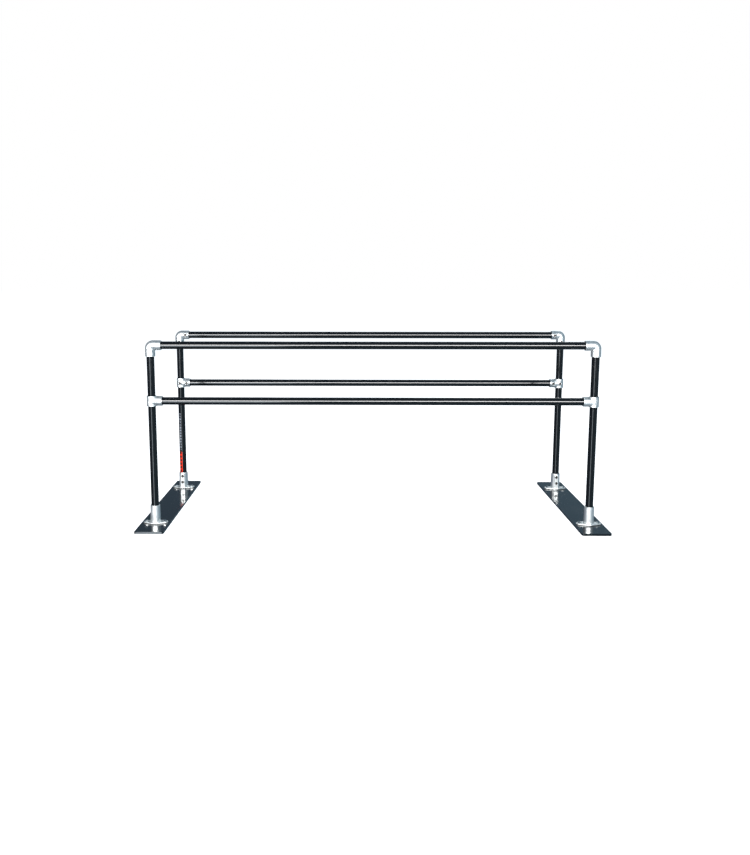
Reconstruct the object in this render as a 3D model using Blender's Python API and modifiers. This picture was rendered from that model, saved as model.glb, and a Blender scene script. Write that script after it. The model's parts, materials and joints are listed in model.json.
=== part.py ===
"""Free-standing parallel bars: black steel pipe held in galvanised set-screw fittings on two base plates.

Frame: metres, +X along the rails, -Y is the front side, +Z up. The origin is on the floor at the centre
of the frame. Each lower rail and its two tees can slide up and down on their pair of posts.
"""

from math import acos, cos, pi, radians, sin, tau

import bmesh
import bpy
from mathutils import Matrix, Vector

# Driving dimensions
POST_SPACING_X = 2.438
POST_SPACING_Y = 0.740
UPPER_RAIL_Z = 1.019
LOWER_RAIL_Z = 0.710
PIPE_RADIUS = 0.02108
PIPE_WALL = 0.00356
PLATE_LENGTH = 1.067
PLATE_WIDTH = 0.162
PLATE_THICKNESS = 0.0127
PLATE_CORNER = 0.010
GAP = 0.0003

# Set-screw fittings for this pipe
BORE_RADIUS = 0.0220
SOCKET_RADIUS = 0.0270
PIPE_STOP = 0.0240
TEE_SLEEVE_HEIGHT = 0.057
TEE_BRANCH_REACH = 0.060
ELBOW_REACH = 0.061
ELBOW_BEND_RADIUS = 0.017
ELBOW_CORE_RADIUS = 0.016
SCREW_REACH = 0.043
BOSS_RADIUS = 0.0115
BOSS_FACE = 0.0315

# Base flange
FLANGE_HEIGHT = 0.104
FLANGE_BASE_THICKNESS = 0.008
FLANGE_WAIST_RADIUS = 0.036
FLANGE_END_RADIUS = 0.019
FLANGE_BOLT_REACH = 0.051
FLANGE_SOCKET_TOP_RADIUS = 0.0268
FLANGE_SOCKET_FOOT_RADIUS = 0.0285
FLANGE_FILLET = 0.005
FLANGE_PAD_WIDTH = 0.025
FLANGE_PAD_FACE = 0.0330
FLANGE_PAD_TOP = 0.100
FLANGE_SCREW_HEIGHTS = {"upper": 0.082, "lower": 0.042}

# Fasteners
SCREW_RADIUS = 0.0083
SCREW_HOLE_RADIUS = SCREW_RADIUS + GAP
SCREW_SOCKET_RADIUS = 0.0046
SCREW_SOCKET_DEPTH = 0.005
SCREW_RECESS = 0.0020
BACKED_OFF = 0.0008
BOLT_RADIUS = 0.0049
BOLT_HOLE_RADIUS = 0.0062
BOLT_COLLAR_RADIUS = 0.0105
BOLT_COLLAR_THICKNESS = 0.0018
BOLT_HEX_RADIUS = 0.0086
BOLT_HEAD_HEIGHT = 0.0085
BOLT_TIP_Z = 0.001

# Label round one post
LABEL_BOTTOM = 0.119
LABEL_TOP = 0.508
LABEL_THICKNESS = 0.0003
LABEL_CENTRE = radians(202)
LABEL_HALF_ARC = radians(68)

ROUND_STEPS = 24
SMALL_STEPS = 14
MERGE = 0.00001

PLATE_TOP = PLATE_THICKNESS
FLANGE_FOOT = PLATE_TOP + GAP
POST_X = POST_SPACING_X / 2
POST_Y = POST_SPACING_Y / 2

LEFT, RIGHT = "left", "right"
FRONT, REAR = "front", "rear"
SIDE_X = {LEFT: -1, RIGHT: 1}
SIDE_Y = {FRONT: -1, REAR: 1}
CORNERS = [(depth, side) for depth in SIDE_Y for side in SIDE_X]


def clear_scene():
    for obj in list(bpy.data.objects):
        bpy.data.objects.remove(obj, do_unlink=True)


def new_collection(name):
    collection = bpy.data.collections.new(name)
    bpy.context.scene.collection.children.link(collection)
    return collection


def make_material(name, colour, roughness, metallic):
    material = bpy.data.materials.new(name)
    material.use_nodes = True
    shader = material.node_tree.nodes["Principled BSDF"]
    shader.inputs["Base Color"].default_value = (*colour, 1.0)
    shader.inputs["Roughness"].default_value = roughness
    shader.inputs["Metallic"].default_value = metallic
    return material


def guide(name, data, location=(0, 0, 0), rotation=(0, 0, 0)):
    """An object that shapes a part and is no part itself."""
    obj = bpy.data.objects.new(name, data)
    GUIDES.objects.link(obj)
    obj.location = location
    obj.rotation_euler = rotation
    obj.hide_render = True
    obj.display_type = "WIRE"
    return obj


def evaluated_mesh(obj, name):
    """The object's mesh with its modifiers applied, in its own axes, with loose caps welded."""
    graph = bpy.context.evaluated_depsgraph_get()
    mesh = bpy.data.meshes.new_from_object(obj.evaluated_get(graph))
    mesh.name = name
    bm = bmesh.new()
    bm.from_mesh(mesh)
    bmesh.ops.remove_doubles(bm, verts=bm.verts, dist=MERGE)
    bm.to_mesh(mesh)
    bm.free()
    return mesh


def cylinder(name, radius, length, location=(0, 0, 0), rotation=(0, 0, 0), steps=ROUND_STEPS):
    """A round bar centred on its location, along its own Z."""
    mesh = bpy.data.meshes.new(name)
    bm = bmesh.new()
    bmesh.ops.create_cone(bm, cap_ends=True, segments=steps, radius1=radius, radius2=radius, depth=length)
    bm.to_mesh(mesh)
    bm.free()
    return guide(name, mesh, location, rotation)


def box(name, size, location):
    mesh = bpy.data.meshes.new(name)
    bm = bmesh.new()
    bmesh.ops.create_cube(bm, size=1.0, matrix=Matrix.Diagonal((*size, 1.0)))
    bm.to_mesh(mesh)
    bm.free()
    return guide(name, mesh, location)


def turned(name, profile, closed, steps=ROUND_STEPS):
    """A Screw of (radius, height) points about Z. The profile runs down its outer side."""
    mesh = bpy.data.meshes.new(name)
    edges = [(i, i + 1) for i in range(len(profile) - 1)]
    if closed:
        edges.append((len(profile) - 1, 0))
    mesh.from_pydata([(radius, 0, height) for radius, height in profile], edges, [])
    obj = guide(name, mesh)
    screw = obj.modifiers.new("turn", "SCREW")
    screw.axis = "Z"
    screw.angle = tau
    screw.steps = steps
    screw.render_steps = steps
    screw.use_merge_vertices = True
    screw.merge_threshold = MERGE
    return obj


def flat_outline(name, loops, thickness, height):
    """An extruded 2D curve. The first loop is its edge and the others are holes."""
    curve = bpy.data.curves.new(name, "CURVE")
    curve.dimensions = "2D"
    curve.fill_mode = "BOTH"
    curve.extrude = thickness / 2
    for loop in loops:
        spline = curve.splines.new("POLY")
        spline.points.add(len(loop) - 1)
        for point, (x, y) in zip(spline.points, loop):
            point.co = (x, y, 0, 1)
        spline.use_cyclic_u = True
    outline = guide(name, curve)
    mesh = evaluated_mesh(outline, name)
    bpy.data.objects.remove(outline)
    return guide(name, mesh, (0, 0, height))


def arc(centre, radius, start, end, steps):
    """Points along an arc, both ends included."""
    angles = [start + (end - start) * i / steps for i in range(steps + 1)]
    return [(centre[0] + radius * cos(a), centre[1] + radius * sin(a)) for a in angles]


def circle(centre, radius, steps):
    return arc(centre, radius, 0, tau, steps)[:-1]


def combine(name, body, joined=(), cut=()):
    """Joins and cuts guides with Booleans, and removes them. The mesh is in the scene's axes."""
    for operation, tools in (("UNION", joined), ("DIFFERENCE", cut)):
        for tool in tools:
            boolean = body.modifiers.new(tool.name, "BOOLEAN")
            boolean.operation = operation
            boolean.solver = "EXACT"
            boolean.object = tool
    mesh = evaluated_mesh(body, name)
    bpy.context.view_layer.update()
    mesh.transform(body.matrix_world)
    for obj in (body, *joined, *cut):
        bpy.data.objects.remove(obj)
    return mesh


def place(name, mesh, material, location=(0, 0, 0), rotation=(0, 0, 0), parent=None):
    """Adds a part. Its location is in the frame's axes, also when it has a parent."""
    if not mesh.materials:
        mesh.materials.append(material)
    mesh.shade_smooth()
    mesh.set_sharp_from_angle(angle=radians(35))
    obj = bpy.data.objects.new(name, mesh)
    PARTS.objects.link(obj)
    obj.rotation_euler = rotation
    obj.location = Vector(location)
    if parent:
        obj.parent = parent
        obj.location = Vector(location) - parent.location
    return obj


def sliding_assembly(name, y):
    """The empty that carries one lower rail and its tees, on the middle of their vertical travel axis."""
    empty = bpy.data.objects.new(name, None)
    PARTS.objects.link(empty)
    empty.location = (0, y, LOWER_RAIL_Z)
    return empty


def pipe_mesh(name, length):
    """A pipe along Z, centred on its middle."""
    inner = PIPE_RADIUS - PIPE_WALL
    half = length / 2
    profile = [(PIPE_RADIUS, half), (PIPE_RADIUS, -half), (inner, -half), (inner, half)]
    return combine(name, turned(name, profile, closed=True))


def set_screw_mesh(name, casting_face, tip_gap):
    """A hexagon-socket set screw. Its outer face is at z = 0 and it reaches down to the pipe."""
    length = casting_face - SCREW_RECESS - PIPE_RADIUS - tip_gap
    body = cylinder("screw_body", SCREW_RADIUS, length, (0, 0, -length / 2), steps=SMALL_STEPS)
    socket = cylinder("screw_socket", SCREW_SOCKET_RADIUS, 2 * SCREW_SOCKET_DEPTH, steps=6)
    return combine(name, body, cut=[socket])


def bolt_mesh():
    """A collared hexagon bolt. The collar's underside is at z = 0 and the shank runs down."""
    shank_length = FLANGE_FOOT + FLANGE_BASE_THICKNESS + GAP - BOLT_TIP_Z
    overlap = BOLT_COLLAR_THICKNESS / 2
    shank_middle = (overlap - shank_length) / 2
    shank = cylinder("shank", BOLT_RADIUS, shank_length + overlap, (0, 0, shank_middle), steps=SMALL_STEPS)
    collar_middle = BOLT_COLLAR_THICKNESS / 2
    collar = cylinder(
        "collar", BOLT_COLLAR_RADIUS, BOLT_COLLAR_THICKNESS, (0, 0, collar_middle), steps=SMALL_STEPS
    )
    head_middle = (BOLT_HEAD_HEIGHT + overlap) / 2
    head = cylinder("head", BOLT_HEX_RADIUS, BOLT_HEAD_HEIGHT - overlap, (0, 0, head_middle), steps=6)
    return combine("flange_bolt", collar, joined=[shank, head])


def screw_hole(name, location):
    """A cutter along +Y from the bore out through a boss or pad."""
    start = BORE_RADIUS - 0.004
    end = FLANGE_PAD_FACE + 0.004
    middle = Vector(location) + Vector((0, (start + end) / 2, 0))
    return cylinder(name, SCREW_HOLE_RADIUS, end - start, middle, (pi / 2, 0, 0), SMALL_STEPS)


def screw_boss(name, location):
    """The round boss that a set screw goes through, standing out along +Y."""
    start = BORE_RADIUS + 0.001
    middle = Vector(location) + Vector((0, (start + BOSS_FACE) / 2, 0))
    return cylinder(name, BOSS_RADIUS, BOSS_FACE - start, middle, (pi / 2, 0, 0), SMALL_STEPS + 4)


def tee_mesh():
    """A tee about its post's axis: sleeve along Z, branch along +X, set screws facing +Y."""
    margin = 0.004
    sleeve = cylinder("sleeve", SOCKET_RADIUS, TEE_SLEEVE_HEIGHT)
    branch = cylinder(
        "branch", SOCKET_RADIUS - 0.0001, TEE_BRANCH_REACH, (TEE_BRANCH_REACH / 2, 0, 0), (0, pi / 2, 0)
    )
    sleeve_bore = cylinder("sleeve_bore", BORE_RADIUS, TEE_SLEEVE_HEIGHT + 2 * margin)
    branch_bore_middle = (TEE_BRANCH_REACH + margin) / 2
    branch_bore = cylinder(
        "branch_bore",
        BORE_RADIUS - 0.0001,
        TEE_BRANCH_REACH + margin,
        (branch_bore_middle, 0, 0),
        (0, pi / 2, 0),
    )
    points = {"post": (0, 0, 0), "rail": (SCREW_REACH, 0, 0)}
    bosses = [screw_boss(f"boss_{end}", point) for end, point in points.items()]
    holes = [screw_hole(f"hole_{end}", point) for end, point in points.items()]
    return combine("tee", sleeve, [branch, *bosses], [sleeve_bore, branch_bore, *holes])


def elbow_corner():
    """The rounded outer corner: a disc, cut off at the bend's axis, swept a quarter turn about it."""
    half_cut = acos(-ELBOW_BEND_RADIUS / SOCKET_RADIUS)
    disc = arc((ELBOW_BEND_RADIUS, 0), SOCKET_RADIUS, -half_cut, half_cut, ROUND_STEPS - 6)
    bm = bmesh.new()
    verts = [bm.verts.new((-radius, height, 0)) for radius, height in disc]
    face = bm.faces.new(verts)
    bmesh.ops.spin(
        bm,
        geom=[face, *face.edges, *face.verts],
        cent=(0, 0, 0),
        axis=(0, 1, 0),
        angle=pi / 2,
        steps=7,
        use_duplicate=False,
    )
    bmesh.ops.remove_doubles(bm, verts=bm.verts, dist=MERGE)
    bmesh.ops.recalc_face_normals(bm, faces=bm.faces)
    mesh = bpy.data.meshes.new("corner")
    bm.to_mesh(mesh)
    bm.free()
    return guide("corner", mesh, (ELBOW_BEND_RADIUS, 0, -ELBOW_BEND_RADIUS))


def elbow_core():
    """The bent passage between the two pipe stops."""
    curve = bpy.data.curves.new("core", "CURVE")
    curve.dimensions = "3D"
    curve.bevel_depth = ELBOW_CORE_RADIUS
    curve.bevel_resolution = 3
    curve.use_fill_caps = True
    overrun = 0.001
    bend = arc((PIPE_STOP, -PIPE_STOP), PIPE_STOP, pi / 2, pi, 5)
    route = [(PIPE_STOP + overrun, 0), *bend, (0, -PIPE_STOP - overrun)]
    spline = curve.splines.new("POLY")
    spline.points.add(len(route) - 1)
    for point, (x, z) in zip(spline.points, route):
        point.co = (x, 0, z, 1)
    core = guide("core", curve)
    mesh = evaluated_mesh(core, "core")
    bpy.data.objects.remove(core)
    return guide("core", mesh)


def elbow_mesh():
    """An elbow about the crossing of its axes: arms along +X and -Z, set screws facing +Y."""
    margin = 0.004
    arm_length = ELBOW_REACH - ELBOW_BEND_RADIUS
    arm_middle = (ELBOW_REACH + ELBOW_BEND_RADIUS) / 2
    rail_arm = cylinder("rail_arm", SOCKET_RADIUS, arm_length, (arm_middle, 0, 0), (0, pi / 2, 0))
    post_arm = cylinder("post_arm", SOCKET_RADIUS - 0.0001, arm_length, (0, 0, -arm_middle))
    stop = PIPE_STOP - GAP
    bore_length = ELBOW_REACH + margin - stop
    bore_middle = (ELBOW_REACH + margin + stop) / 2
    rail_bore = cylinder("rail_bore", BORE_RADIUS, bore_length, (bore_middle, 0, 0), (0, pi / 2, 0))
    post_bore = cylinder("post_bore", BORE_RADIUS, bore_length, (0, 0, -bore_middle))
    points = {"rail": (SCREW_REACH, 0, 0), "post": (0, 0, -SCREW_REACH)}
    bosses = [screw_boss(f"boss_{end}", point) for end, point in points.items()]
    holes = [screw_hole(f"hole_{end}", point) for end, point in points.items()]
    joined = [post_arm, elbow_corner(), *bosses]
    return combine("elbow", rail_arm, joined, [rail_bore, post_bore, elbow_core(), *holes])


def flange_outline():
    """A waisted oval: a round middle and two smaller round ends, joined by their tangents."""
    tangent = acos((FLANGE_WAIST_RADIUS - FLANGE_END_RADIUS) / FLANGE_BOLT_REACH)
    ends = [
        ((FLANGE_BOLT_REACH, 0), FLANGE_END_RADIUS, -tangent, tangent),
        ((0, 0), FLANGE_WAIST_RADIUS, tangent, pi - tangent),
        ((-FLANGE_BOLT_REACH, 0), FLANGE_END_RADIUS, pi - tangent, pi + tangent),
        ((0, 0), FLANGE_WAIST_RADIUS, pi + tangent, tau - tangent),
    ]
    # The straight tangents are the edges from each arc's last point to the next arc's first.
    points = []
    for centre, radius, start, end in ends:
        points += arc(centre, radius, start, end, 6)
    return points


def flange_mesh():
    """A base flange standing on z = 0 about its post's axis, with its set screws facing +Y."""
    plate_middle = FLANGE_BASE_THICKNESS / 2
    base = flat_outline("flange_base", [flange_outline()], FLANGE_BASE_THICKNESS, plate_middle)
    fillet_centre = (
        FLANGE_SOCKET_FOOT_RADIUS + FLANGE_FILLET,
        FLANGE_BASE_THICKNESS + FLANGE_FILLET,
    )
    fillet = arc(fillet_centre, FLANGE_FILLET, pi, 1.5 * pi, 3)
    sunk = FLANGE_BASE_THICKNESS / 2
    socket_profile = [
        (0, FLANGE_HEIGHT),
        (FLANGE_SOCKET_TOP_RADIUS, FLANGE_HEIGHT),
        *fillet,
        (fillet[-1][0], sunk),
        (0, sunk),
    ]
    socket = turned("flange_socket", socket_profile, closed=False)
    pad_foot = FLANGE_BASE_THICKNESS / 2
    pad_size = (FLANGE_PAD_WIDTH, FLANGE_PAD_FACE - BORE_RADIUS, FLANGE_PAD_TOP - pad_foot)
    pad_middle = (0, (FLANGE_PAD_FACE + BORE_RADIUS) / 2, (FLANGE_PAD_TOP + pad_foot) / 2)
    pad = box("flange_pad", pad_size, pad_middle)
    bore = cylinder("flange_bore", BORE_RADIUS, 3 * FLANGE_HEIGHT)
    bolt_holes = [
        cylinder(f"bolt_hole_{side}", BOLT_HOLE_RADIUS, 0.04, (x, 0, 0), steps=SMALL_STEPS)
        for side, x in (("a", -FLANGE_BOLT_REACH), ("b", FLANGE_BOLT_REACH))
    ]
    holes = [screw_hole(f"hole_{end}", (0, 0, z)) for end, z in FLANGE_SCREW_HEIGHTS.items()]
    return combine("base_flange", socket, [base, pad], [bore, *bolt_holes, *holes])


def plate_mesh():
    """A base plate about the middle of its underside, long along Y, with tapped holes for the bolts."""
    corner_x = PLATE_WIDTH / 2 - PLATE_CORNER
    corner_y = PLATE_LENGTH / 2 - PLATE_CORNER
    turns = [(1, 1, 0), (-1, 1, pi / 2), (-1, -1, pi), (1, -1, 1.5 * pi)]
    edge = []
    for side, end, start in turns:
        edge += arc((side * corner_x, end * corner_y), PLATE_CORNER, start, start + pi / 2, 4)
    tapped_radius = BOLT_RADIUS + GAP
    holes = [
        circle((side * FLANGE_BOLT_REACH, end * POST_Y), tapped_radius, SMALL_STEPS)
        for side in (-1, 1)
        for end in (-1, 1)
    ]
    outline = flat_outline("plate", [edge, *holes], PLATE_THICKNESS, PLATE_THICKNESS / 2)
    return combine("base_plate", outline)


def label_mesh():
    """A thin label wrapped part of the way round a post, about the post's axis."""
    inner = PIPE_RADIUS + 0.8 * GAP
    outer = inner + LABEL_THICKNESS
    around = 12
    start = LABEL_CENTRE - LABEL_HALF_ARC
    end = LABEL_CENTRE + LABEL_HALF_ARC
    loop = arc((0, 0), outer, start, end, around) + arc((0, 0), inner, end, start, around)
    height = LABEL_TOP - LABEL_BOTTOM
    middle = (LABEL_TOP + LABEL_BOTTOM) / 2
    return combine("label", flat_outline("label", [loop], height, middle))


def facing(depth):
    """The turn about Z that points +Y of a part towards the lane between the bars."""
    return 0 if depth == FRONT else pi


def add_base_plates():
    mesh = plate_mesh()
    for side, x_sign in SIDE_X.items():
        place(f"base_plate_{side}", mesh, BLACK_PLATE, (x_sign * POST_X, 0, 0))


def add_flanges():
    mesh = flange_mesh()
    bolt = bolt_mesh()
    bolt_z = FLANGE_FOOT + FLANGE_BASE_THICKNESS + GAP
    for depth, side in CORNERS:
        x, y = SIDE_X[side] * POST_X, SIDE_Y[depth] * POST_Y
        place(f"base_flange_{depth}_{side}", mesh, GALVANISED, (x, y, FLANGE_FOOT), (0, 0, facing(depth)))
        for end, reach in (("outer", 1), ("inner", -1)):
            bolt_x = x + reach * SIDE_X[side] * FLANGE_BOLT_REACH
            place(f"flange_bolt_{end}_{depth}_{side}", bolt, BRIGHT_STEEL, (bolt_x, y, bolt_z))


def add_posts():
    bottom = PLATE_TOP + GAP
    top = UPPER_RAIL_Z - PIPE_STOP
    mesh = pipe_mesh("post", top - bottom)
    for depth, side in CORNERS:
        middle = (SIDE_X[side] * POST_X, SIDE_Y[depth] * POST_Y, (top + bottom) / 2)
        place(f"post_{depth}_{side}", mesh, BLACK_PIPE, middle)


def add_rails(assemblies):
    mesh = pipe_mesh("rail", POST_SPACING_X - 2 * PIPE_STOP)
    for depth, y_sign in SIDE_Y.items():
        y = y_sign * POST_Y
        along_x = (0, pi / 2, 0)
        place(f"upper_rail_{depth}", mesh, BLACK_PIPE, (0, y, UPPER_RAIL_Z), along_x)
        place(f"lower_rail_{depth}", mesh, BLACK_PIPE, (0, y, LOWER_RAIL_Z), along_x, assemblies[depth])


def add_elbows():
    """One elbow fits all corners: turned a quarter about Y, its two equal arms change places."""
    mesh = elbow_mesh()
    turns = {
        (FRONT, LEFT): (0, 0, 0),
        (FRONT, RIGHT): (0, pi / 2, 0),
        (REAR, RIGHT): (0, 0, pi),
        (REAR, LEFT): (pi, pi / 2, 0),
    }
    for depth, side in CORNERS:
        corner = (SIDE_X[side] * POST_X, SIDE_Y[depth] * POST_Y, UPPER_RAIL_Z)
        place(f"elbow_{depth}_{side}", mesh, GALVANISED, corner, turns[depth, side])


def add_tees(assemblies):
    """One tee fits all corners: it is the same either way up."""
    mesh = tee_mesh()
    turns = {
        (FRONT, LEFT): (0, 0, 0),
        (FRONT, RIGHT): (0, pi, 0),
        (REAR, RIGHT): (0, 0, pi),
        (REAR, LEFT): (pi, 0, 0),
    }
    for depth, side in CORNERS:
        centre = (SIDE_X[side] * POST_X, SIDE_Y[depth] * POST_Y, LOWER_RAIL_Z)
        place(f"tee_{depth}_{side}", mesh, GALVANISED, centre, turns[depth, side], assemblies[depth])


def add_set_screws(assemblies):
    """Every set screw faces the lane. Those of the tees on the posts are backed off, so the tees slide."""
    short = set_screw_mesh("set_screw", BOSS_FACE, GAP)
    backed_off = set_screw_mesh("backed_off_set_screw", BOSS_FACE, BACKED_OFF)
    long = set_screw_mesh("flange_set_screw", FLANGE_PAD_FACE, GAP)
    for depth, side in CORNERS:
        x, y = SIDE_X[side] * POST_X, SIDE_Y[depth] * POST_Y
        inward_x = -SIDE_X[side]
        inward_y = -SIDE_Y[depth]
        outward_turn = (-inward_y * pi / 2, 0, 0)
        face_y = y + inward_y * (BOSS_FACE - SCREW_RECESS)
        pad_y = y + inward_y * (FLANGE_PAD_FACE - SCREW_RECESS)
        rail_x = x + inward_x * SCREW_REACH
        spots = [
            ("elbow_rail_screw", short, (rail_x, face_y, UPPER_RAIL_Z), None),
            ("elbow_post_screw", short, (x, face_y, UPPER_RAIL_Z - SCREW_REACH), None),
            ("tee_rail_screw", short, (rail_x, face_y, LOWER_RAIL_Z), assemblies[depth]),
            ("tee_post_screw", backed_off, (x, face_y, LOWER_RAIL_Z), assemblies[depth]),
        ]
        for level, height in FLANGE_SCREW_HEIGHTS.items():
            spots.append((f"flange_{level}_screw", long, (x, pad_y, FLANGE_FOOT + height), None))
        for kind, mesh, spot, parent in spots:
            place(f"{kind}_{depth}_{side}", mesh, BRIGHT_STEEL, spot, outward_turn, parent)


def add_label():
    place("post_label", label_mesh(), LABEL_ORANGE, (-POST_X, POST_Y, 0))


clear_scene()
PARTS = new_collection("parallel_bars")
GUIDES = new_collection("guides")
GUIDES.hide_render = True

BLACK_PIPE = make_material("black_pipe", (0.012, 0.013, 0.014), 0.25, 0.0)
BLACK_PLATE = make_material("black_plate", (0.020, 0.022, 0.025), 0.22, 0.0)
GALVANISED = make_material("galvanised_casting", (0.72, 0.74, 0.75), 0.42, 0.9)
BRIGHT_STEEL = make_material("bright_steel", (0.55, 0.56, 0.57), 0.35, 1.0)
LABEL_ORANGE = make_material("label_orange", (0.85, 0.10, 0.02), 0.45, 0.0)

ASSEMBLIES = {depth: sliding_assembly(f"slide_{depth}", sign * POST_Y) for depth, sign in SIDE_Y.items()}
add_base_plates()
add_flanges()
add_posts()
add_rails(ASSEMBLIES)
add_elbows()
add_tees(ASSEMBLIES)
add_set_screws(ASSEMBLIES)
add_label()
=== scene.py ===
"""The looks of the parallel bars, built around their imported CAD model.

Metres throughout, in the CAD model's frame: +X along the rails, -Y is the front, +Z up.
Castings are made in their own axes first: the post's axis is Z, a rail leaves along +X, and the set
screws face +Y. They are then turned to the four corners of the frame.
"""

import json
from math import pi, radians, tau

import bmesh
import bpy
import numpy as np
from mathutils import Matrix, Vector

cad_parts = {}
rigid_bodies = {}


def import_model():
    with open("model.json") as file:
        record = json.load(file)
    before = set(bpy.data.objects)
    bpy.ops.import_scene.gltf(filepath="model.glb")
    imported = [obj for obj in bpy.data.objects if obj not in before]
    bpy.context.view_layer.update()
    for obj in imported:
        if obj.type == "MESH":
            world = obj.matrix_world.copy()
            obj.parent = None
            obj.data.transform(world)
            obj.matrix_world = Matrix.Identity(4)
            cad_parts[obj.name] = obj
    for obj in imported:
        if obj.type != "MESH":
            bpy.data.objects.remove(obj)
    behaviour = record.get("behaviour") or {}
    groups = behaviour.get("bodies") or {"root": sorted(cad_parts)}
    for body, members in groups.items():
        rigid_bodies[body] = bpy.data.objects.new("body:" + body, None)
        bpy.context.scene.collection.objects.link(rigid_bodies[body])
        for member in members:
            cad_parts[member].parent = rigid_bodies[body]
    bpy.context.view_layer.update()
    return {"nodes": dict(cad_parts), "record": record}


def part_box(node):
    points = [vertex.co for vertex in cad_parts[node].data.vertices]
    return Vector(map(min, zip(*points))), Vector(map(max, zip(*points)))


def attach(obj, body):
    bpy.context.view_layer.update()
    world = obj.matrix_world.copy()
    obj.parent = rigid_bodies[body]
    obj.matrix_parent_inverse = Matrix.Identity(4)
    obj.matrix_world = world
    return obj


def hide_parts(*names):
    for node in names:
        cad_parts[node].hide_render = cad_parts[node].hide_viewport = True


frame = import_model()
nodes = frame["nodes"]
body_of_node = {
    node: body
    for body, members in frame["record"]["behaviour"]["bodies"].items()
    for node in members
}


def centre(node):
    low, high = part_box(node)
    return (low + high) / 2


def size(node):
    low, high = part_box(node)
    return high - low


# Sizes read from the CAD model
post = centre("post_front_left")
tee_low, tee_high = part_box("tee_front_left")
elbow_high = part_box("elbow_front_left")[1]
flange_low, flange_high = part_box("base_flange_front_left")

PIPE_RADIUS = size("upper_rail_front").y / 2
SOCKET_RADIUS = post.x - tee_low.x
BOSS_FACE = tee_high.y - post.y
TEE_HALF_HEIGHT = (tee_high.z - tee_low.z) / 2
TEE_REACH = tee_high.x - post.x
ELBOW_REACH = elbow_high.x - post.x
FLANGE_HEIGHT = flange_high.z - flange_low.z
FLANGE_HALF_LENGTH = (flange_high.x - flange_low.x) / 2
FLANGE_HALF_WIDTH = (flange_high.y - flange_low.y) / 2
BOLT_REACH = centre("flange_bolt_inner_front_left").x - post.x
SCREW_REACH = centre("tee_rail_screw_front_left").x - post.x
SCREW_RADIUS = size("tee_rail_screw_front_left").z / 2
FLANGE_SCREWS = [
    centre(f"flange_{level}_screw_front_left").z - flange_low.z for level in ("upper", "lower")
]
SCREW_RECESS = 0.0020
PAD_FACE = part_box("flange_upper_screw_front_left")[1].y - post.y + SCREW_RECESS

# Sizes of detail that the CAD model leaves out, or that its boxes don't show
PIPE_WALL = 0.00356
BORE_RADIUS = 0.0220
ELBOW_BEND = 0.017
ELBOW_STOP = 0.024
ELBOW_CORE = 0.016
BOSS_RADIUS = 0.0115
FOOT_THICKNESS = 0.008
FOOT_END_RADIUS = 0.019
SOCKET_TOP_RADIUS = 0.0268
SOCKET_FOOT_RADIUS = 0.0285
PAD_WIDTH = 0.025
PAD_TOP = 0.100
RIM = 0.0022
FILLET = 0.004
FOOT_FILLET = 0.0045
LIP = 0.0014
CHAMFER = 0.0009
SPARE = 0.003
BOLT_HOLE_RADIUS = 0.0062
HEX_SOCKET_RADIUS = 0.0046
HEX_SOCKET_DEPTH = 0.005
LABEL_CENTRE = radians(202)
LABEL_HALF_ARC = radians(68)
LABEL_THICKNESS = 0.0003
LABEL_GAP = 0.00002
LABEL_ORANGE_TOP = 0.255
SCREW_CLEARANCE = 0.0003
SCREW_HOLE_START = BORE_RADIUS - 0.004
SCREW_HOLE_STEPS = 48
SEAT_GAP = 0.0003
TAPPED_HOLE_RADIUS = 0.0052
TOP_OF_FOOT = flange_low.z + FOOT_THICKNESS

# Fineness of the meshes: the cell of a casting's grid, the cells' shift off its flat faces, and the
# sides of a full turn
FINE = 0.0015
GRID_SHIFT = 0.137
ROUND = 96
ROUND_SMALL = 64

# Sockets of Blender's Mix node for colours
MIX_FIRST, MIX_SECOND, MIX_RESULT = 6, 7, 2

CORNERS = [(depth, side) for depth in ("front", "rear") for side in ("left", "right")]


# Mesh helpers


def object_of(name, mesh):
    obj = bpy.data.objects.new(name, mesh)
    bpy.context.scene.collection.objects.link(obj)
    return obj


def smooth(mesh, angle=35):
    """The mesh with smooth shading, broken at edges sharper than this many degrees."""
    mesh.shade_smooth()
    mesh.set_sharp_from_angle(angle=radians(angle))
    return mesh


def lathe(name, profile, steps=ROUND):
    """A closed turned mesh about Z from a closed loop of (radius, height), outer side first, top down."""
    bm = bmesh.new()
    loop = [bm.verts.new((radius, 0, height)) for radius, height in profile]
    edges = [bm.edges.new((a, b)) for a, b in zip(loop, loop[1:] + loop[:1])]
    bmesh.ops.spin(
        bm, geom=loop + edges, cent=(0, 0, 0), axis=(0, 0, 1), angle=tau, steps=steps, use_merge=True
    )
    bmesh.ops.remove_doubles(bm, verts=bm.verts, dist=1e-7)
    bmesh.ops.dissolve_degenerate(bm, edges=bm.edges, dist=1e-7)
    bmesh.ops.recalc_face_normals(bm, faces=bm.faces)
    mesh = bpy.data.meshes.new(name)
    bm.to_mesh(mesh)
    bm.free()
    return mesh


def prism(name, radius, low, high, sides):
    """A regular prism along Z."""
    bm = bmesh.new()
    bmesh.ops.create_cone(
        bm,
        cap_ends=True,
        segments=sides,
        radius1=radius,
        radius2=radius,
        depth=high - low,
        matrix=Matrix.Translation((0, 0, (high + low) / 2)),
    )
    mesh = bpy.data.meshes.new(name)
    bm.to_mesh(mesh)
    bm.free()
    return mesh


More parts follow.
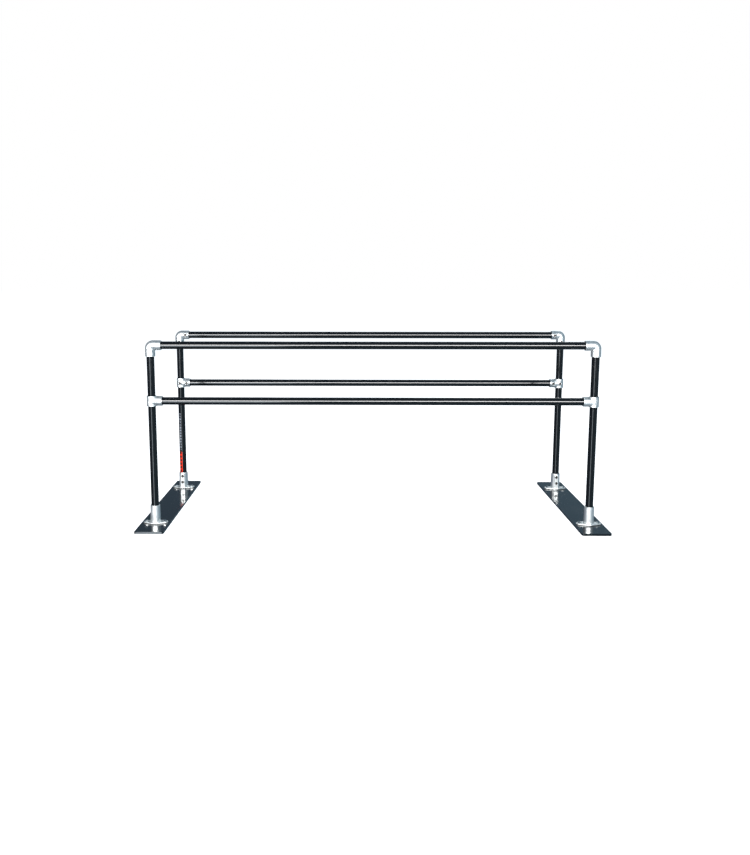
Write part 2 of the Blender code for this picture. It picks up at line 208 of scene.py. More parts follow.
def boolean(body, tools, operation="DIFFERENCE"):
    """The body mesh cut, joined or crossed with tool meshes."""
    base = object_of("base", body)
    helpers = [object_of(f"tool_{i}", tool) for i, tool in enumerate(tools)]
    for helper in helpers:
        modifier = base.modifiers.new(helper.name, "BOOLEAN")
        modifier.operation = operation
        modifier.solver = "EXACT"
        modifier.object = helper
    graph = bpy.context.evaluated_depsgraph_get()
    mesh = bpy.data.meshes.new_from_object(base.evaluated_get(graph))
    mesh.name = body.name
    for obj in (base, *helpers):
        bpy.data.objects.remove(obj)
    return mesh


def moved(mesh, *transforms):
    for transform in transforms:
        mesh.transform(transform)
    return mesh


ALONG_X = Matrix.Rotation(pi / 2, 4, "Y")
ALONG_MINUS_Z = Matrix.Rotation(pi, 4, "X")
ALONG_Y = Matrix.Rotation(-pi / 2, 4, "X")


# Distance fields of the castings


def tube(points, axis, radius):
    """An endless round bar along one axis (0, 1 or 2 for X, Y or Z)."""
    across = [points[..., k] for k in range(3) if k != axis]
    return np.hypot(*across) - radius


def merge(first, second, fillet):
    """The union of two fields, with a fillet where they meet."""
    near = np.maximum(fillet - np.abs(first - second), 0) / np.maximum(fillet, 1e-9)
    return np.minimum(first, second) - near * near * fillet / 4


def trim(field, plane, rim):
    """The field cut off where plane is above zero, with a rounded rim."""
    return -merge(-field, -plane, 2 * rim)


def boss(points, x, z, base):
    """A round boss that stands out along +Y at (x, z), merged into the base field."""
    shifted = points - np.array([x, 0, z])
    column = np.maximum(tube(shifted, 1, BOSS_RADIUS), points[..., 1] - BOSS_FACE - SPARE)
    column = np.maximum(column, -points[..., 1])
    return merge(base, column, FILLET)


def tee_field(points):
    """A sleeve along Z, its branch along +X and two screw bosses."""
    x, z = points[..., 0], points[..., 2]
    branch = np.maximum(tube(points, 0, SOCKET_RADIUS), -x)
    body = merge(tube(points, 2, SOCKET_RADIUS), branch, FILLET)
    body = boss(points, SCREW_REACH, 0, boss(points, 0, 0, body))
    return np.maximum(body, np.maximum(np.abs(z) - TEE_HALF_HEIGHT, x - TEE_REACH) - SPARE)


def elbow_field(points):
    """Two tubes and the quarter bend between them. The crotch gets a small fillet."""
    x, y, z = points[..., 0], points[..., 1], points[..., 2]
    from_x, from_z = x - ELBOW_BEND, z + ELBOW_BEND
    rail, down = tube(points, 0, SOCKET_RADIUS), tube(points, 2, SOCKET_RADIUS)
    bend = np.hypot(np.hypot(from_x, from_z) - ELBOW_BEND, y) - SOCKET_RADIUS
    crotch = np.clip(np.minimum(from_x, -from_z) / FILLET, 0, 1)
    inner = merge(rail, down, FILLET * crotch)
    body = np.where(from_x > 0, np.where(from_z > 0, rail, inner), np.where(from_z > 0, bend, down))
    body = boss(points, 0, -SCREW_REACH, boss(points, SCREW_REACH, 0, body))
    return np.maximum(body, np.maximum(x, -z) - ELBOW_REACH - SPARE)


def oval(x, y):
    """Distance to the flange's outline: a round middle and two round ends, joined by their tangents."""
    slope = (FLANGE_HALF_WIDTH - FOOT_END_RADIUS) / BOLT_REACH
    rise = np.sqrt(1 - slope * slope)
    x, y = np.abs(x), np.abs(y)
    along = rise * x - slope * y
    ends = np.hypot(x - BOLT_REACH, y) - FOOT_END_RADIUS
    straight = rise * y + slope * x - FLANGE_HALF_WIDTH
    middle = np.hypot(x, y) - FLANGE_HALF_WIDTH
    return np.where(along < 0, middle, np.where(along > rise * BOLT_REACH, ends, straight))


def flange_field(points):
    """An oval foot, a slightly tapered socket and the raised pad of the two set screws."""
    x, y, z = points[..., 0], points[..., 1], points[..., 2]
    foot = trim(trim(oval(x, y), z - FOOT_THICKNESS, RIM), -z - SPARE / 8, 1.2 * RIM)
    share = np.clip(z / FLANGE_HEIGHT, 0, 1)
    radius = SOCKET_FOOT_RADIUS + (SOCKET_TOP_RADIUS - SOCKET_FOOT_RADIUS) * share
    socket = np.maximum(np.hypot(x, y) - radius, z - FLANGE_HEIGHT - SPARE)
    arch = np.hypot(x, np.maximum(z - (PAD_TOP - PAD_WIDTH / 2), 0)) - PAD_WIDTH / 2
    pad = np.maximum(trim(arch, y - PAD_FACE, RIM / 2), -y)
    body = merge(merge(socket, pad, FILLET / 2), foot, FOOT_FILLET)
    return np.maximum(body, -z - SPARE / 8)


def surface_of(name, field, low, high):
    """A quad mesh on the zero surface of a field: one point in each mixed cell, moved onto the surface."""
    margin = SPARE + 3 * FINE
    axes = [np.arange(a - margin, b + margin, FINE) + FINE * GRID_SHIFT for a, b in zip(low, high)]
    inside = field(np.stack(np.meshgrid(*axes, indexing="ij"), -1)) < 0
    cells = np.zeros([n - 1 for n in inside.shape], int)
    for i, j, k in np.ndindex(2, 2, 2):
        cells += inside[i:, j:, k:][: cells.shape[0], : cells.shape[1], : cells.shape[2]]
    mixed = (cells > 0) & (cells < 8)
    index = np.full(cells.shape, -1)
    index[mixed] = np.arange(mixed.sum())
    points = np.stack([axes[d][where] + FINE / 2 for d, where in enumerate(np.nonzero(mixed))], -1)
    quads = []
    for d in range(3):
        u, v = (d + 1) % 3, (d + 2) % 3
        ends = np.moveaxis(inside, d, 0)
        first, second = np.moveaxis(ends[:-1], 0, d), np.moveaxis(ends[1:], 0, d)
        spot = np.stack(np.nonzero(first != second), -1)
        spot = spot[(spot[:, u] > 0) & (spot[:, v] > 0)]
        spot = spot[(spot[:, u] < cells.shape[u]) & (spot[:, v] < cells.shape[v])]
        step_u, step_v = np.eye(3, dtype=int)[u], np.eye(3, dtype=int)[v]
        ring = [index[tuple((spot - s).T)] for s in (0 * step_u, step_u, step_u + step_v, step_v)]
        ring = np.stack(ring, -1)
        leaving = first[tuple(spot.T)]
        ring[~leaving] = ring[~leaving][:, ::-1]
        quads.append(ring)
    quads = np.concatenate(quads)
    relaxing_rounds = 6
    for _ in range(relaxing_rounds):
        points = onto_surface(field, relaxed(points, quads))
    mesh = bpy.data.meshes.new(name)
    mesh.from_pydata(points.tolist(), [], quads.tolist())
    return mesh


def relaxed(points, quads):
    """Each point moved halfway to the middle of its neighbours along the quads' sides."""
    total, count = np.zeros_like(points), np.zeros(len(points))
    for a, b in ((0, 1), (1, 2), (2, 3), (3, 0)):
        for one, other in ((a, b), (b, a)):
            np.add.at(total, quads[:, one], points[quads[:, other]])
            np.add.at(count, quads[:, one], 1)
    return (points + total / count[:, None]) / 2


def onto_surface(field, points):
    """Each point moved to the zero of the field, by Newton steps down its slope."""
    step, rounds, least_slope = 1e-5, 3, 0.2
    for _ in range(rounds):
        value = field(points)
        offsets = step * np.eye(3)
        slope = np.stack([(field(points + o) - field(points - o)) / (2 * step) for o in offsets], -1)
        length = np.maximum((slope**2).sum(-1), least_slope)
        points = points - (value / length)[:, None] * slope
    return points


# Castings


def opening(end, up, hole, rim=None):
    """The profile that faces off an end of a casting: a cap, a rounded outer lip and a chamfered mouth."""
    beyond, cap = 0.09, end + up * 2 * SPARE
    profile = [(0, cap), (beyond, cap), (beyond, end)]
    if rim:
        clear = rim + LIP / 7
        profile += [(clear, end), (clear, end - up * LIP)]
        turns = np.linspace(0, pi / 2, 5)
        profile += [(rim - LIP * (1 - np.cos(a)), end - up * LIP * (1 - np.sin(a))) for a in turns]
    return [*profile, (hole + CHAMFER, end), (hole, end - up * CHAMFER)]


def blind_cutter(start, end, hole, rim, steps=ROUND):
    """A cutter along +Z for a hole that opens at its end only."""
    return lathe("hole", [*opening(end, 1, hole, rim), (hole, start), (0, start)], steps)


def through_cutter(start, end, rim, start_rim=None):
    """A cutter along +Z for a bore that opens at both ends."""
    far = opening(start, -1, BORE_RADIUS, start_rim)
    return lathe("bore", opening(end, 1, BORE_RADIUS, rim) + far[::-1])


def screw_cutter(x, z):
    """The set screw's hole through a boss, which it also faces off."""
    radius = SCREW_RADIUS + SCREW_CLEARANCE
    hole = blind_cutter(SCREW_HOLE_START, BOSS_FACE, radius, BOSS_RADIUS, SCREW_HOLE_STEPS)
    return moved(hole, ALONG_Y, Matrix.Translation((x, 0, z)))


def pad_cutter(z):
    """A set screw's hole through the flange's pad, with a chamfered mouth."""
    hole = SCREW_RADIUS + SCREW_CLEARANCE
    mouth = hole + CHAMFER
    profile = [(0, PAD_FACE + SPARE), (mouth, PAD_FACE + SPARE), (mouth, PAD_FACE)]
    profile += [(hole, PAD_FACE - CHAMFER), (hole, SCREW_HOLE_START), (0, SCREW_HOLE_START)]
    return moved(lathe("hole", profile, SCREW_HOLE_STEPS), ALONG_Y, Matrix.Translation((0, 0, z)))


def tee_mesh():
    low = (-SOCKET_RADIUS, -SOCKET_RADIUS, -TEE_HALF_HEIGHT)
    high = (TEE_REACH, BOSS_FACE, TEE_HALF_HEIGHT)
    body = surface_of("tee", tee_field, low, high)
    branch_bore = moved(blind_cutter(0, TEE_REACH, BORE_RADIUS, SOCKET_RADIUS), ALONG_X)
    post_bore = through_cutter(-TEE_HALF_HEIGHT, TEE_HALF_HEIGHT, SOCKET_RADIUS, SOCKET_RADIUS)
    holes = [screw_cutter(x, 0) for x in (0, SCREW_REACH)]
    return smooth(boolean(body, [post_bore, branch_bore, *holes]))


def elbow_core():
    """The bent passage between the two pipe stops."""
    curve = bpy.data.curves.new("core", "CURVE")
    curve.dimensions = "3D"
    curve.bevel_depth = ELBOW_CORE
    curve.bevel_resolution = 8
    curve.use_fill_caps = True
    overrun = 0.001
    turns = np.linspace(pi / 2, pi, 9)
    bend = [(ELBOW_STOP * (1 + np.cos(a)), ELBOW_STOP * (np.sin(a) - 1)) for a in turns]
    route = [(ELBOW_STOP + overrun, 0), *bend, (0, -ELBOW_STOP - overrun)]
    spline = curve.splines.new("POLY")
    spline.points.add(len(route) - 1)
    for point, (x, z) in zip(spline.points, route):
        point.co = (x, 0, z, 1)
    helper = object_of("core", curve)
    mesh = bpy.data.meshes.new_from_object(helper.evaluated_get(bpy.context.evaluated_depsgraph_get()))
    bpy.data.objects.remove(helper)
    bm = bmesh.new()
    bm.from_mesh(mesh)
    bmesh.ops.remove_doubles(bm, verts=bm.verts, dist=1e-6)
    bm.to_mesh(mesh)
    bm.free()
    return mesh


def elbow_mesh():
    low = (-SOCKET_RADIUS, -SOCKET_RADIUS, -ELBOW_REACH)
    high = (ELBOW_REACH, BOSS_FACE, SOCKET_RADIUS)
    body = surface_of("elbow", elbow_field, low, high)
    bores = [
        moved(blind_cutter(ELBOW_STOP, ELBOW_REACH, BORE_RADIUS, SOCKET_RADIUS), turn)
        for turn in (ALONG_X, ALONG_MINUS_Z)
    ]
    holes = [screw_cutter(SCREW_REACH, 0), screw_cutter(0, -SCREW_REACH)]
    return smooth(boolean(body, [*bores, elbow_core(), *holes]))


def flange_mesh():
    low = (-FLANGE_HALF_LENGTH, -FLANGE_HALF_WIDTH, 0)
    high = (FLANGE_HALF_LENGTH, FLANGE_HALF_WIDTH, FLANGE_HEIGHT)
    body = surface_of("base_flange", flange_field, low, high)
    holes = [through_cutter(0, FLANGE_HEIGHT, SOCKET_TOP_RADIUS)]
    for x in (-BOLT_REACH, BOLT_REACH):
        hole = prism("bolt_hole", BOLT_HOLE_RADIUS, -0.01, 0.02, SCREW_HOLE_STEPS)
        holes.append(moved(hole, Matrix.Translation((x, 0, 0))))
    holes += [pad_cutter(z) for z in FLANGE_SCREWS]
    return smooth(boolean(body, holes))


# Pipes, plates and fasteners


def pipe_mesh(length):
    """A pipe along Z about its middle, with deburred ends."""
    half, inner, edge = length / 2, PIPE_RADIUS - PIPE_WALL, 0.0006
    outer_side = [
        (PIPE_RADIUS - edge, half),
        (PIPE_RADIUS, half - edge),
        (PIPE_RADIUS, -half + edge),
        (PIPE_RADIUS - edge, -half),
    ]
    inner_side = [(inner + edge, -half), (inner, -half + edge), (inner, half - edge), (inner + edge, half)]
    return smooth(lathe("pipe", outer_side + inner_side))


def plate_mesh():
    """A base plate about the middle of its underside, with eased edges and tapped holes.

    Its flat faces are shaded flat. Smoothed into the narrow easing, they would mirror the wrong things.
    """
    corner, ease, corner_steps, straight = 0.010, 0.0007, 13, 0.9999
    width, length, thickness = size("base_plate_left")
    points = []
    for turn, (sx, sy) in enumerate(((1, 1), (-1, 1), (-1, -1), (1, -1))):
        for angle in np.linspace(turn * pi / 2, (turn + 1) * pi / 2, corner_steps):
            x = sx * (width / 2 - corner) + corner * np.cos(angle)
            y = sy * (length / 2 - corner) + corner * np.sin(angle)
            points.append((x, y, 0))
    bm = bmesh.new()
    face = bm.faces.new([bm.verts.new(point) for point in points])
    top = bmesh.ops.extrude_face_region(bm, geom=[face])["geom"]
    lifted = [item for item in top if isinstance(item, bmesh.types.BMVert)]
    bmesh.ops.translate(bm, verts=lifted, vec=(0, 0, thickness))
    bmesh.ops.recalc_face_normals(bm, faces=bm.faces)
    rims = [edge for edge in bm.edges if abs(edge.verts[0].co.z - edge.verts[1].co.z) < 1e-6]
    bmesh.ops.bevel(bm, geom=rims, offset=ease, segments=3, profile=0.5, affect="EDGES")
    mesh = bpy.data.meshes.new("plate")
    bm.to_mesh(mesh)
    bm.free()
    drills = []
    for x in (-BOLT_REACH, BOLT_REACH):
        for y in (post.y, -post.y):
            drill = prism("tapped_hole", TAPPED_HOLE_RADIUS, -0.01, 0.03, 32)
            drills.append(moved(drill, Matrix.Translation((x, y, 0))))
    mesh = smooth(boolean(mesh, drills))
    for polygon in mesh.polygons:
        polygon.use_smooth = max(abs(part) for part in polygon.normal) < straight
    return mesh


def set_screw_mesh(length):
    """A hexagon-socket set screw with its outer face at z = 0, reaching down."""
    edge, dish = 0.0007, 0.0004
    profile = [
        (0, -dish),
        (HEX_SOCKET_RADIUS + 0.0008, 0),
        (SCREW_RADIUS - edge, 0),
        (SCREW_RADIUS, -edge),
        (SCREW_RADIUS, -length + 2 * edge),
        (SCREW_RADIUS - 2 * edge, -length),
        (0, -length),
    ]
    body = lathe("set_screw", profile, ROUND_SMALL)
    socket = prism("socket", HEX_SOCKET_RADIUS, -HEX_SOCKET_DEPTH, 0.003, 6)
    return smooth(boolean(body, [socket]), 25)


def bolt_mesh():
    """A hexagon bolt with a flange collar. The collar's underside is at z = 0."""
    low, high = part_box("flange_bolt_inner_front_left")
    shank_bottom = low.z - (TOP_OF_FOOT + SEAT_GAP)
    head_top = high.z - (TOP_OF_FOOT + SEAT_GAP)
    collar, collar_height, hexagon, slope = 0.0105, 0.0018, 0.0086, 0.0014
    shank, shank_end, point, overlap = 0.0049, 0.0039, 0.001, 0.0004
    crown_flat = hexagon * np.cos(pi / 6) * 0.93
    foot_of_head = 0.0005
    crown_profile = [
        (0, head_top),
        (crown_flat, head_top),
        (hexagon, head_top - slope),
        (hexagon, foot_of_head),
        (0, foot_of_head),
    ]
    crown = lathe("crown", crown_profile, ROUND_SMALL)
    head = boolean(prism("head", hexagon, overlap, head_top + 0.001, 6), [crown], "INTERSECT")
    base_profile = [
        (0, collar_height + overlap),
        (hexagon * 0.9, collar_height + overlap),
        (collar - 0.0004, 0.0011),
        (collar, 0.0007),
        (collar, 0.0002),
        (collar - 0.0002, 0),
        (shank, 0),
        (shank, shank_bottom + point),
        (shank_end, shank_bottom),
        (0, shank_bottom),
    ]
    base = lathe("flange_bolt", base_profile, ROUND_SMALL)
    return smooth(boolean(base, [head], "UNION"), 25)


def label_mesh():
    """A thin printed label bent round the post, about the post's axis."""
    low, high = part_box("post_label")
    inner = PIPE_RADIUS + LABEL_GAP
    outer = inner + LABEL_THICKNESS
    around, up = 48, 60
    bm = bmesh.new()
    angles = LABEL_CENTRE + LABEL_HALF_ARC * np.linspace(-1, 1, around + 1)
    heights = np.linspace(low.z, high.z, up + 1)
    grids = []
    for radius in (outer, inner):
        grid = [
            [bm.verts.new((radius * np.cos(a), radius * np.sin(a), z)) for a in angles] for z in heights
        ]
        grids.append(grid)
    front, back = grids
    for j in range(up):
        for i in range(around):
            for grid, flip in ((front, 1), (back, -1)):
                corners = [grid[j][i], grid[j][i + 1], grid[j + 1][i + 1], grid[j + 1][i]]
                bm.faces.new(corners[::flip])
    for j in range(up):
        for i in (0, around):
            bm.faces.new([front[j][i], front[j + 1][i], back[j + 1][i], back[j][i]])
    for i in range(around):
        for j in (0, up):
            bm.faces.new([front[j][i], front[j][i + 1], back[j][i + 1], back[j][i]])
    bmesh.ops.recalc_face_normals(bm, faces=bm.faces)
    mesh = bpy.data.meshes.new("label")
    bm.to_mesh(mesh)
    bm.free()
    return smooth(mesh, 50)


# Materials


class Shader:
    """A node material under construction."""

    def __init__(self, name, colour, roughness, metallic):
        self.material = bpy.data.materials.new(name)
        self.material.use_nodes = True
        self.tree = self.material.node_tree
        self.surface = self.tree.nodes["Principled BSDF"]
        self.set("Base Color", (*colour, 1))
        self.set("Roughness", roughness)
        self.set("Metallic", metallic)
        self.place = self.tree.nodes.new("ShaderNodeTexCoord").outputs["Object"]

    def set(self, socket, value):
        self.surface.inputs[socket].default_value = value

    def node(self, kind, inputs=None, **settings):
        node = self.tree.nodes.new(kind)
        for key, value in settings.items():
            setattr(node, key, value)
        for socket, value in (inputs or {}).items():
            if isinstance(value, bpy.types.NodeSocket):
                self.tree.links.new(value, node.inputs[socket])
            else:
                node.inputs[socket].default_value = value
        return node

    def noise(self, scale, detail=3, roughness=0.5):
        inputs = {"Vector": self.place, "Scale": scale, "Detail": detail, "Roughness": roughness}
        return self.node("ShaderNodeTexNoise", inputs).outputs["Fac"]

    def cells(self, scale):
        inputs = {"Vector": self.place, "Scale": scale}
        return self.node("ShaderNodeTexVoronoi", inputs).outputs["Color"]

    def math(self, operation, first, second=0.0):
        return self.node("ShaderNodeMath", {0: first, 1: second}, operation=operation).outputs[0]

    def between(self, value, low, high, from_low=0.0, from_high=1.0):
        inputs = {"Value": value, "From Min": from_low, "From Max": from_high, "To Min": low, "To Max": high}
        return self.node("ShaderNodeMapRange", inputs).outputs["Result"]

    def mix(self, share, first, second):
        """A colour between two colours. Each is a tuple or a socket."""
        node = self.node("ShaderNodeMix", data_type="RGBA")
        for socket, value in ((0, share), (MIX_FIRST, first), (MIX_SECOND, second)):
            if isinstance(value, bpy.types.NodeSocket):
                self.tree.links.new(value, node.inputs[socket])
            elif socket == 0:
                node.inputs[socket].default_value = value
            else:
                node.inputs[socket].default_value = (*value, 1)
        return node.outputs[MIX_RESULT]

    def colour(self, socket):
        self.tree.links.new(socket, self.surface.inputs["Base Color"])

    def roughness(self, socket):
        self.tree.links.new(socket, self.surface.inputs["Roughness"])

    def bump(self, height, distance, strength=1.0):
        inputs = {"Height": height, "Distance": distance, "Strength": strength}
        bump = self.node("ShaderNodeBump", inputs)
        self.tree.links.new(bump.outputs["Normal"], self.surface.inputs["Normal"])


def powder_coat():
    """Glossy black powder coat: a faint orange peel and slightly uneven gloss."""
    shader = Shader("black_powder_coat", (0.0024, 0.0027, 0.0030), 0.2, 0.0)
    shader.set("IOR", 1.6)
    handled = shader.noise(9, 5, 0.6)
    shader.colour(shader.mix(handled, (0.0012, 0.0013, 0.0015), (0.0030, 0.0034, 0.0040)))
    shader.roughness(shader.between(shader.noise(40, 4), 0.09, 0.16, 0.3, 0.7))
    peel = shader.math("ADD", shader.noise(420, 2), shader.math("MULTIPLY", shader.noise(1300, 1), 0.3))
    shader.bump(peel, 0.00005, 0.15)
    return shader.material


def plate_coat():
    """Glossy black coat on flat plate, with soft smears."""
    shader = Shader("black_plate_coat", (0.010, 0.012, 0.015), 0.06, 0.0)
    shader.set("IOR", 1.75)
    shader.set("Coat Weight", 0.2)
    shader.set("Coat Roughness", 0.03)
    smears = shader.noise(6, 6, 0.62)
    shader.colour(shader.mix(smears, (0.008, 0.010, 0.013), (0.016, 0.019, 0.023)))
    shader.roughness(shader.between(smears, 0.11, 0.19, 0.35, 0.75))
    shader.bump(shader.noise(260, 2), 0.00003, 0.3)
    return shader.material


def galvanised():
    """Hot-dip zinc on a cast surface: fine spangle, cloudy gloss and a sandy skin."""
    shader = Shader("galvanised_casting", (0.86, 0.87, 0.88), 0.42, 0.95)
    shader.set("Specular Tint", (0.16, 0.24, 0.26, 1))
    crystals = shader.cells(210)
    spangle = shader.node("ShaderNodeSeparateColor", {"Color": crystals}).outputs["Red"]
    clouds = shader.noise(28, 5, 0.6)
    blended = shader.math("ADD", shader.math("MULTIPLY", spangle, 0.4), shader.math("MULTIPLY", clouds, 0.6))
    shader.colour(shader.mix(blended, (0.76, 0.80, 0.80), (0.97, 0.98, 0.97)))
    shader.roughness(shader.between(blended, 0.34, 0.50, 0.2, 0.8))
    skin = shader.math("ADD", shader.noise(650, 4, 0.6), shader.math("MULTIPLY", shader.noise(90, 3), 0.6))
    shader.bump(skin, 0.0002, 0.3)
    return shader.material


def zinc_plate():
    """Bright zinc plate on turned and pressed steel."""
    shader = Shader("zinc_plated_steel", (0.62, 0.63, 0.64), 0.28, 1.0)
    tint = shader.noise(160, 4, 0.6)
    shader.colour(shader.mix(tint, (0.48, 0.49, 0.51), (0.70, 0.70, 0.68)))
    shader.roughness(shader.between(tint, 0.17, 0.29, 0.3, 0.7))
    shader.bump(shader.noise(900, 3), 0.00004, 0.4)
    return shader.material


def hardened_steel():
    """Dark oiled steel of the set screws, with a slight brown cast."""
    shader = Shader("hardened_steel", (0.07, 0.068, 0.066), 0.42, 1.0)
    stain = shader.noise(300, 4, 0.6)
    shader.colour(shader.mix(stain, (0.045, 0.042, 0.040), (0.12, 0.115, 0.11)))
    shader.roughness(shader.between(stain, 0.32, 0.55, 0.3, 0.7))
    shader.bump(shader.noise(1100, 3), 0.00004, 0.4)
    return shader.material


def printed_label():
    """Vinyl: an orange block with black bars below, pale bars on black above. It carries no lettering."""
    shader = Shader("printed_label", (0.62, 0.02, 0.001), 0.5, 0.0)
    shader.set("IOR", 1.25)
    parts = shader.node("ShaderNodeSeparateXYZ", {"Vector": shader.place})
    x, y, z = (parts.outputs[k] for k in "XYZ")
    turned = shader.math("ARCTAN2", x, shader.math("MULTIPLY", y, -1.0))
    around = shader.math("MULTIPLY", turned, PIPE_RADIUS)
    flat = shader.node("ShaderNodeCombineXYZ", {"X": z, "Y": around}).outputs[0]
    bars = {
        "Vector": flat,
        "Color1": (0.10, 0.11, 0.13, 1),
        "Color2": (0.26, 0.29, 0.34, 1),
        "Mortar": (0.004, 0.0045, 0.005, 1),
        "Scale": 1.0,
        "Mortar Size": 0.0034,
        "Mortar Smooth": 0.05,
        "Brick Width": 0.0185,
        "Row Height": 0.0148,
    }
    pale = shader.node("ShaderNodeTexBrick", bars, offset=0.2, squash=0.8, squash_frequency=3)
    black, orange = (0.004, 0.003, 0.003, 1), (0.62, 0.02, 0.001, 1)
    bars.update({"Color1": black, "Color2": black, "Mortar": orange, "Mortar Size": 0.0046})
    bars.update({"Brick Width": 0.0235, "Row Height": 0.0235})
    warm = shader.node("ShaderNodeTexBrick", bars, offset=0.0)
    half_gap = 0.0065
    divider = shader.math("COMPARE", z, LABEL_ORANGE_TOP + half_gap)
    divider.node.inputs[2].default_value = half_gap
    above = shader.math("GREATER_THAN", z, LABEL_ORANGE_TOP)
    face = shader.mix(above, warm.outputs["Color"], pale.outputs["Color"])
    shader.colour(shader.mix(divider, face, (0.006, 0.006, 0.007)))
    shader.bump(shader.noise(500, 2), 0.00003, 0.3)
    return shader.material


BLACK_PIPE, BLACK_PLATE, CAST, ZINC = powder_coat(), plate_coat(), galvanised(), zinc_plate()
DARK_STEEL, PRINT = hardened_steel(), printed_label()


# Placing


def finish_node(node, mesh, material, matrix):
    """A finished piece that stands for a CAD node, where the CAD model has it."""
    if not mesh.materials:
        mesh.materials.append(material)
    piece = object_of(f"fine_{node}", mesh)
    piece.matrix_world = matrix
    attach(piece, body_of_node[node])
    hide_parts(node)


def at(x, y, z, *turns):
    """The matrix of a place and the turns made there, each an angle and an axis."""
    matrix = Matrix.Translation((x, y, z))
    for angle, axis in turns:
        matrix = matrix @ Matrix.Rotation(angle, 4, axis)
    return matrix


def castings():
    """Elbows have equal arms and tees are the same either way up, so turns alone reach every corner."""
    elbow, tee, flange = elbow_mesh(), tee_mesh(), flange_mesh()
    elbow_turns = {
        ("front", "left"): [],
        ("front", "right"): [(pi / 2, "Y")],
        ("rear", "right"): [(pi, "Z")],
        ("rear", "left"): [(pi / 2, "Y"), (pi, "X")],
    }
    tee_turns = {
        ("front", "left"): [],
        ("front", "right"): [(pi, "Y")],
        ("rear", "right"): [(pi, "Z")],
        ("rear", "left"): [(pi, "X")],
    }
    for depth, side in CORNERS:
        key = f"{depth}_{side}"
        x, y = centre(f"post_{key}").xy
        upper, lower = centre(f"upper_rail_{depth}").z, centre(f"lower_rail_{depth}").z
        facing = [(pi, "Z")] if depth == "rear" else []
        placed = [
            (f"elbow_{key}", elbow, at(x, y, upper, *elbow_turns[depth, side])),
            (f"tee_{key}", tee, at(x, y, lower, *tee_turns[depth, side])),
            (f"base_flange_{key}", flange, at(x, y, flange_low.z, *facing)),
        ]
        for node, mesh, matrix in placed:
            finish_node(node, mesh, CAST, matrix)


def pipes():
    upright, lying = pipe_mesh(size("post_front_left").z), pipe_mesh(size("upper_rail_front").x)
    for depth, side in CORNERS:
        node = f"post_{depth}_{side}"
        finish_node(node, upright, BLACK_PIPE, at(*centre(node)))
    for level in ("upper", "lower"):
        for depth in ("front", "rear"):
            node = f"{level}_rail_{depth}"
            finish_node(node, lying, BLACK_PIPE, at(*centre(node), (pi / 2, "Y")))


def plates():
    mesh = plate_mesh()
    for side in ("left", "right"):
        node = f"base_plate_{side}"
        finish_node(node, mesh, BLACK_PLATE, at(centre(node).x, 0, 0))


def fasteners():
    """Set screws face the lane. Each is turned by its own angle, as tightening leaves them."""
    screws = {}
    turn, step = 0.4, 1.1
    for node in sorted(name for name in nodes if "_screw_" in name):
        low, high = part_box(node)
        length = round(high.y - low.y, 5)
        if length not in screws:
            screws[length] = set_screw_mesh(length)
        front = "_front_" in node
        face = high.y if front else low.y
        outward = -pi / 2 if front else pi / 2
        middle = (low + high) / 2
        matrix = at(middle.x, face, middle.z, (outward, "X"), (turn, "Z"))
        finish_node(node, screws[length], DARK_STEEL, matrix)
        turn += step
    bolt = bolt_mesh()
    seat = TOP_OF_FOOT + SEAT_GAP
    for node in sorted(name for name in nodes if name.startswith("flange_bolt")):
        middle = centre(node)
        finish_node(node, bolt, ZINC, at(middle.x, middle.y, seat, (turn, "Z")))
        turn += step


def label():
    x, y = centre("post_rear_left").xy
    finish_node("post_label", label_mesh(), PRINT, at(x, y, 0))


# Camera, light and floor


def camera():
    data = bpy.data.cameras.new("camera")
    data.lens, data.sensor_width = 32.93, 36
    data.shift_x, data.shift_y = 0.0373, -0.0543
    obj = object_of("camera", data)
    obj.location = (-0.103, -4.632, 1.4067)
    obj.rotation_euler = (radians(90 - 7.806), 0, radians(0.757))
    bpy.context.scene.camera = obj


def softbox(name, location, target, width, height, power):
    data = bpy.data.lights.new(name, "AREA")
    data.shape = "RECTANGLE"
    data.size, data.size_y, data.energy = width, height, power
    obj = object_of(name, data)
    obj.location = location
    aim = Vector(target) - Vector(location)
    obj.rotation_euler = aim.to_track_quat("-Z", "Y").to_euler()
    return obj


def pieces_in(name, *materials):
    """A collection of the pieces in these materials, to link a light to."""
    group = bpy.data.collections.new(name)
    for obj in bpy.data.objects:
        if obj.type == "MESH" and obj.data.materials and obj.data.materials[0] in materials:
            group.objects.link(obj)
    return group


def lights():
    """A wide window behind the camera, light thrown up from the ground in front, a rear light and a fill.

    The window leaves out the plates, which would mirror it and turn white when seen from behind. The
    light from the ground reaches only the black pieces.
    """
    window = softbox("window", (-2.3, -6.5, 1.95), (-2.3, 0, 1.0), 11.6, 1.9, 1400)
    unglared = pieces_in("unglared", BLACK_PLATE)
    for entry in unglared.collection_objects:
        entry.light_linking.link_state = "EXCLUDE"
    window.light_linking.receiver_collection = unglared
    bounce = softbox("ground_bounce", (-2.1, -6.5, -1.5), (-2.1, 0, -1.5), 2.0, 4.6, 120)
    bounce.data.color = (0.82, 0.92, 1.0)
    bounce.light_linking.receiver_collection = pieces_in("painted", BLACK_PIPE, BLACK_PLATE)
    softbox("rear_light", (1.5, 6.5, 4.6), (0, 0, 0.5), 6.0, 1.2, 110)
    fill = softbox("top_fill", (0, 0.3, 4.5), (0, 0, 0), 5.0, 3.5, 15)
    fill.visible_glossy = False


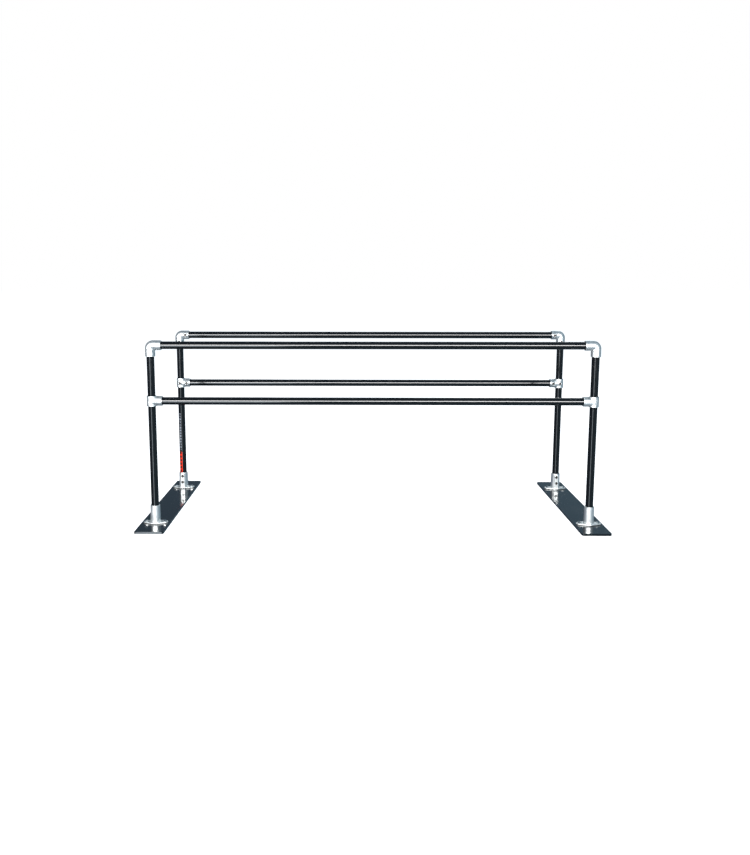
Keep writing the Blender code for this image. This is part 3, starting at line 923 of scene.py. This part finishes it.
def room():
    """A cool, dim room, lighter to the right, that the camera itself sees as white."""
    world = bpy.data.worlds.new("studio")
    world.use_nodes = True
    tree = world.node_tree
    walls = tree.nodes["Background"]
    place = tree.nodes.new("ShaderNodeTexCoord")
    parts = tree.nodes.new("ShaderNodeSeparateXYZ")
    tree.links.new(place.outputs["Generated"], parts.inputs[0])
    half_width = 0.4
    across = tree.nodes.new("ShaderNodeMapRange")
    across.inputs["From Min"].default_value = -half_width
    across.inputs["From Max"].default_value = half_width
    tree.links.new(parts.outputs["X"], across.inputs["Value"])
    tones = tree.nodes.new("ShaderNodeMix")
    tones.data_type = "RGBA"
    tones.inputs[MIX_FIRST].default_value = (0.080, 0.112, 0.152, 1)
    tones.inputs[MIX_SECOND].default_value = (0.140, 0.225, 0.290, 1)
    tree.links.new(across.outputs["Result"], tones.inputs[0])
    tree.links.new(tones.outputs[MIX_RESULT], walls.inputs["Color"])
    seen = tree.nodes.new("ShaderNodeBackground")
    seen.inputs["Color"].default_value = (1, 1, 1, 1)
    path = tree.nodes.new("ShaderNodeLightPath")
    mix = tree.nodes.new("ShaderNodeMixShader")
    tree.links.new(path.outputs["Is Camera Ray"], mix.inputs[0])
    tree.links.new(walls.outputs[0], mix.inputs[1])
    tree.links.new(seen.outputs[0], mix.inputs[2])
    tree.links.new(mix.outputs[0], tree.nodes["World Output"].inputs["Surface"])
    bpy.context.scene.world = world
    bpy.context.scene.view_settings.view_transform = "Standard"


def floor():
    """A white floor just below the plates, wide enough to hide its edge and left out of reflections."""
    reach, below = 60, 0.0005
    bm = bmesh.new()
    bmesh.ops.create_grid(bm, x_segments=1, y_segments=1, size=reach)
    mesh = bpy.data.meshes.new("floor")
    bm.to_mesh(mesh)
    bm.free()
    shader = Shader("pale_floor", (0.93, 0.93, 0.93), 0.9, 0.0)
    shader.set("Emission Color", (1, 1, 1, 1))
    shader.set("Emission Strength", 0.92)
    shader.roughness(shader.between(shader.noise(3), 0.85, 0.95))
    mesh.materials.append(shader.material)
    obj = object_of("floor", mesh)
    obj.location.z = -below
    obj.visible_glossy = False
    obj.visible_diffuse = False
    obj.visible_shadow = False


camera()
pipes()
plates()
castings()
fasteners()
label()
lights()
room()
floor()

bpy.context.view_layer.update()
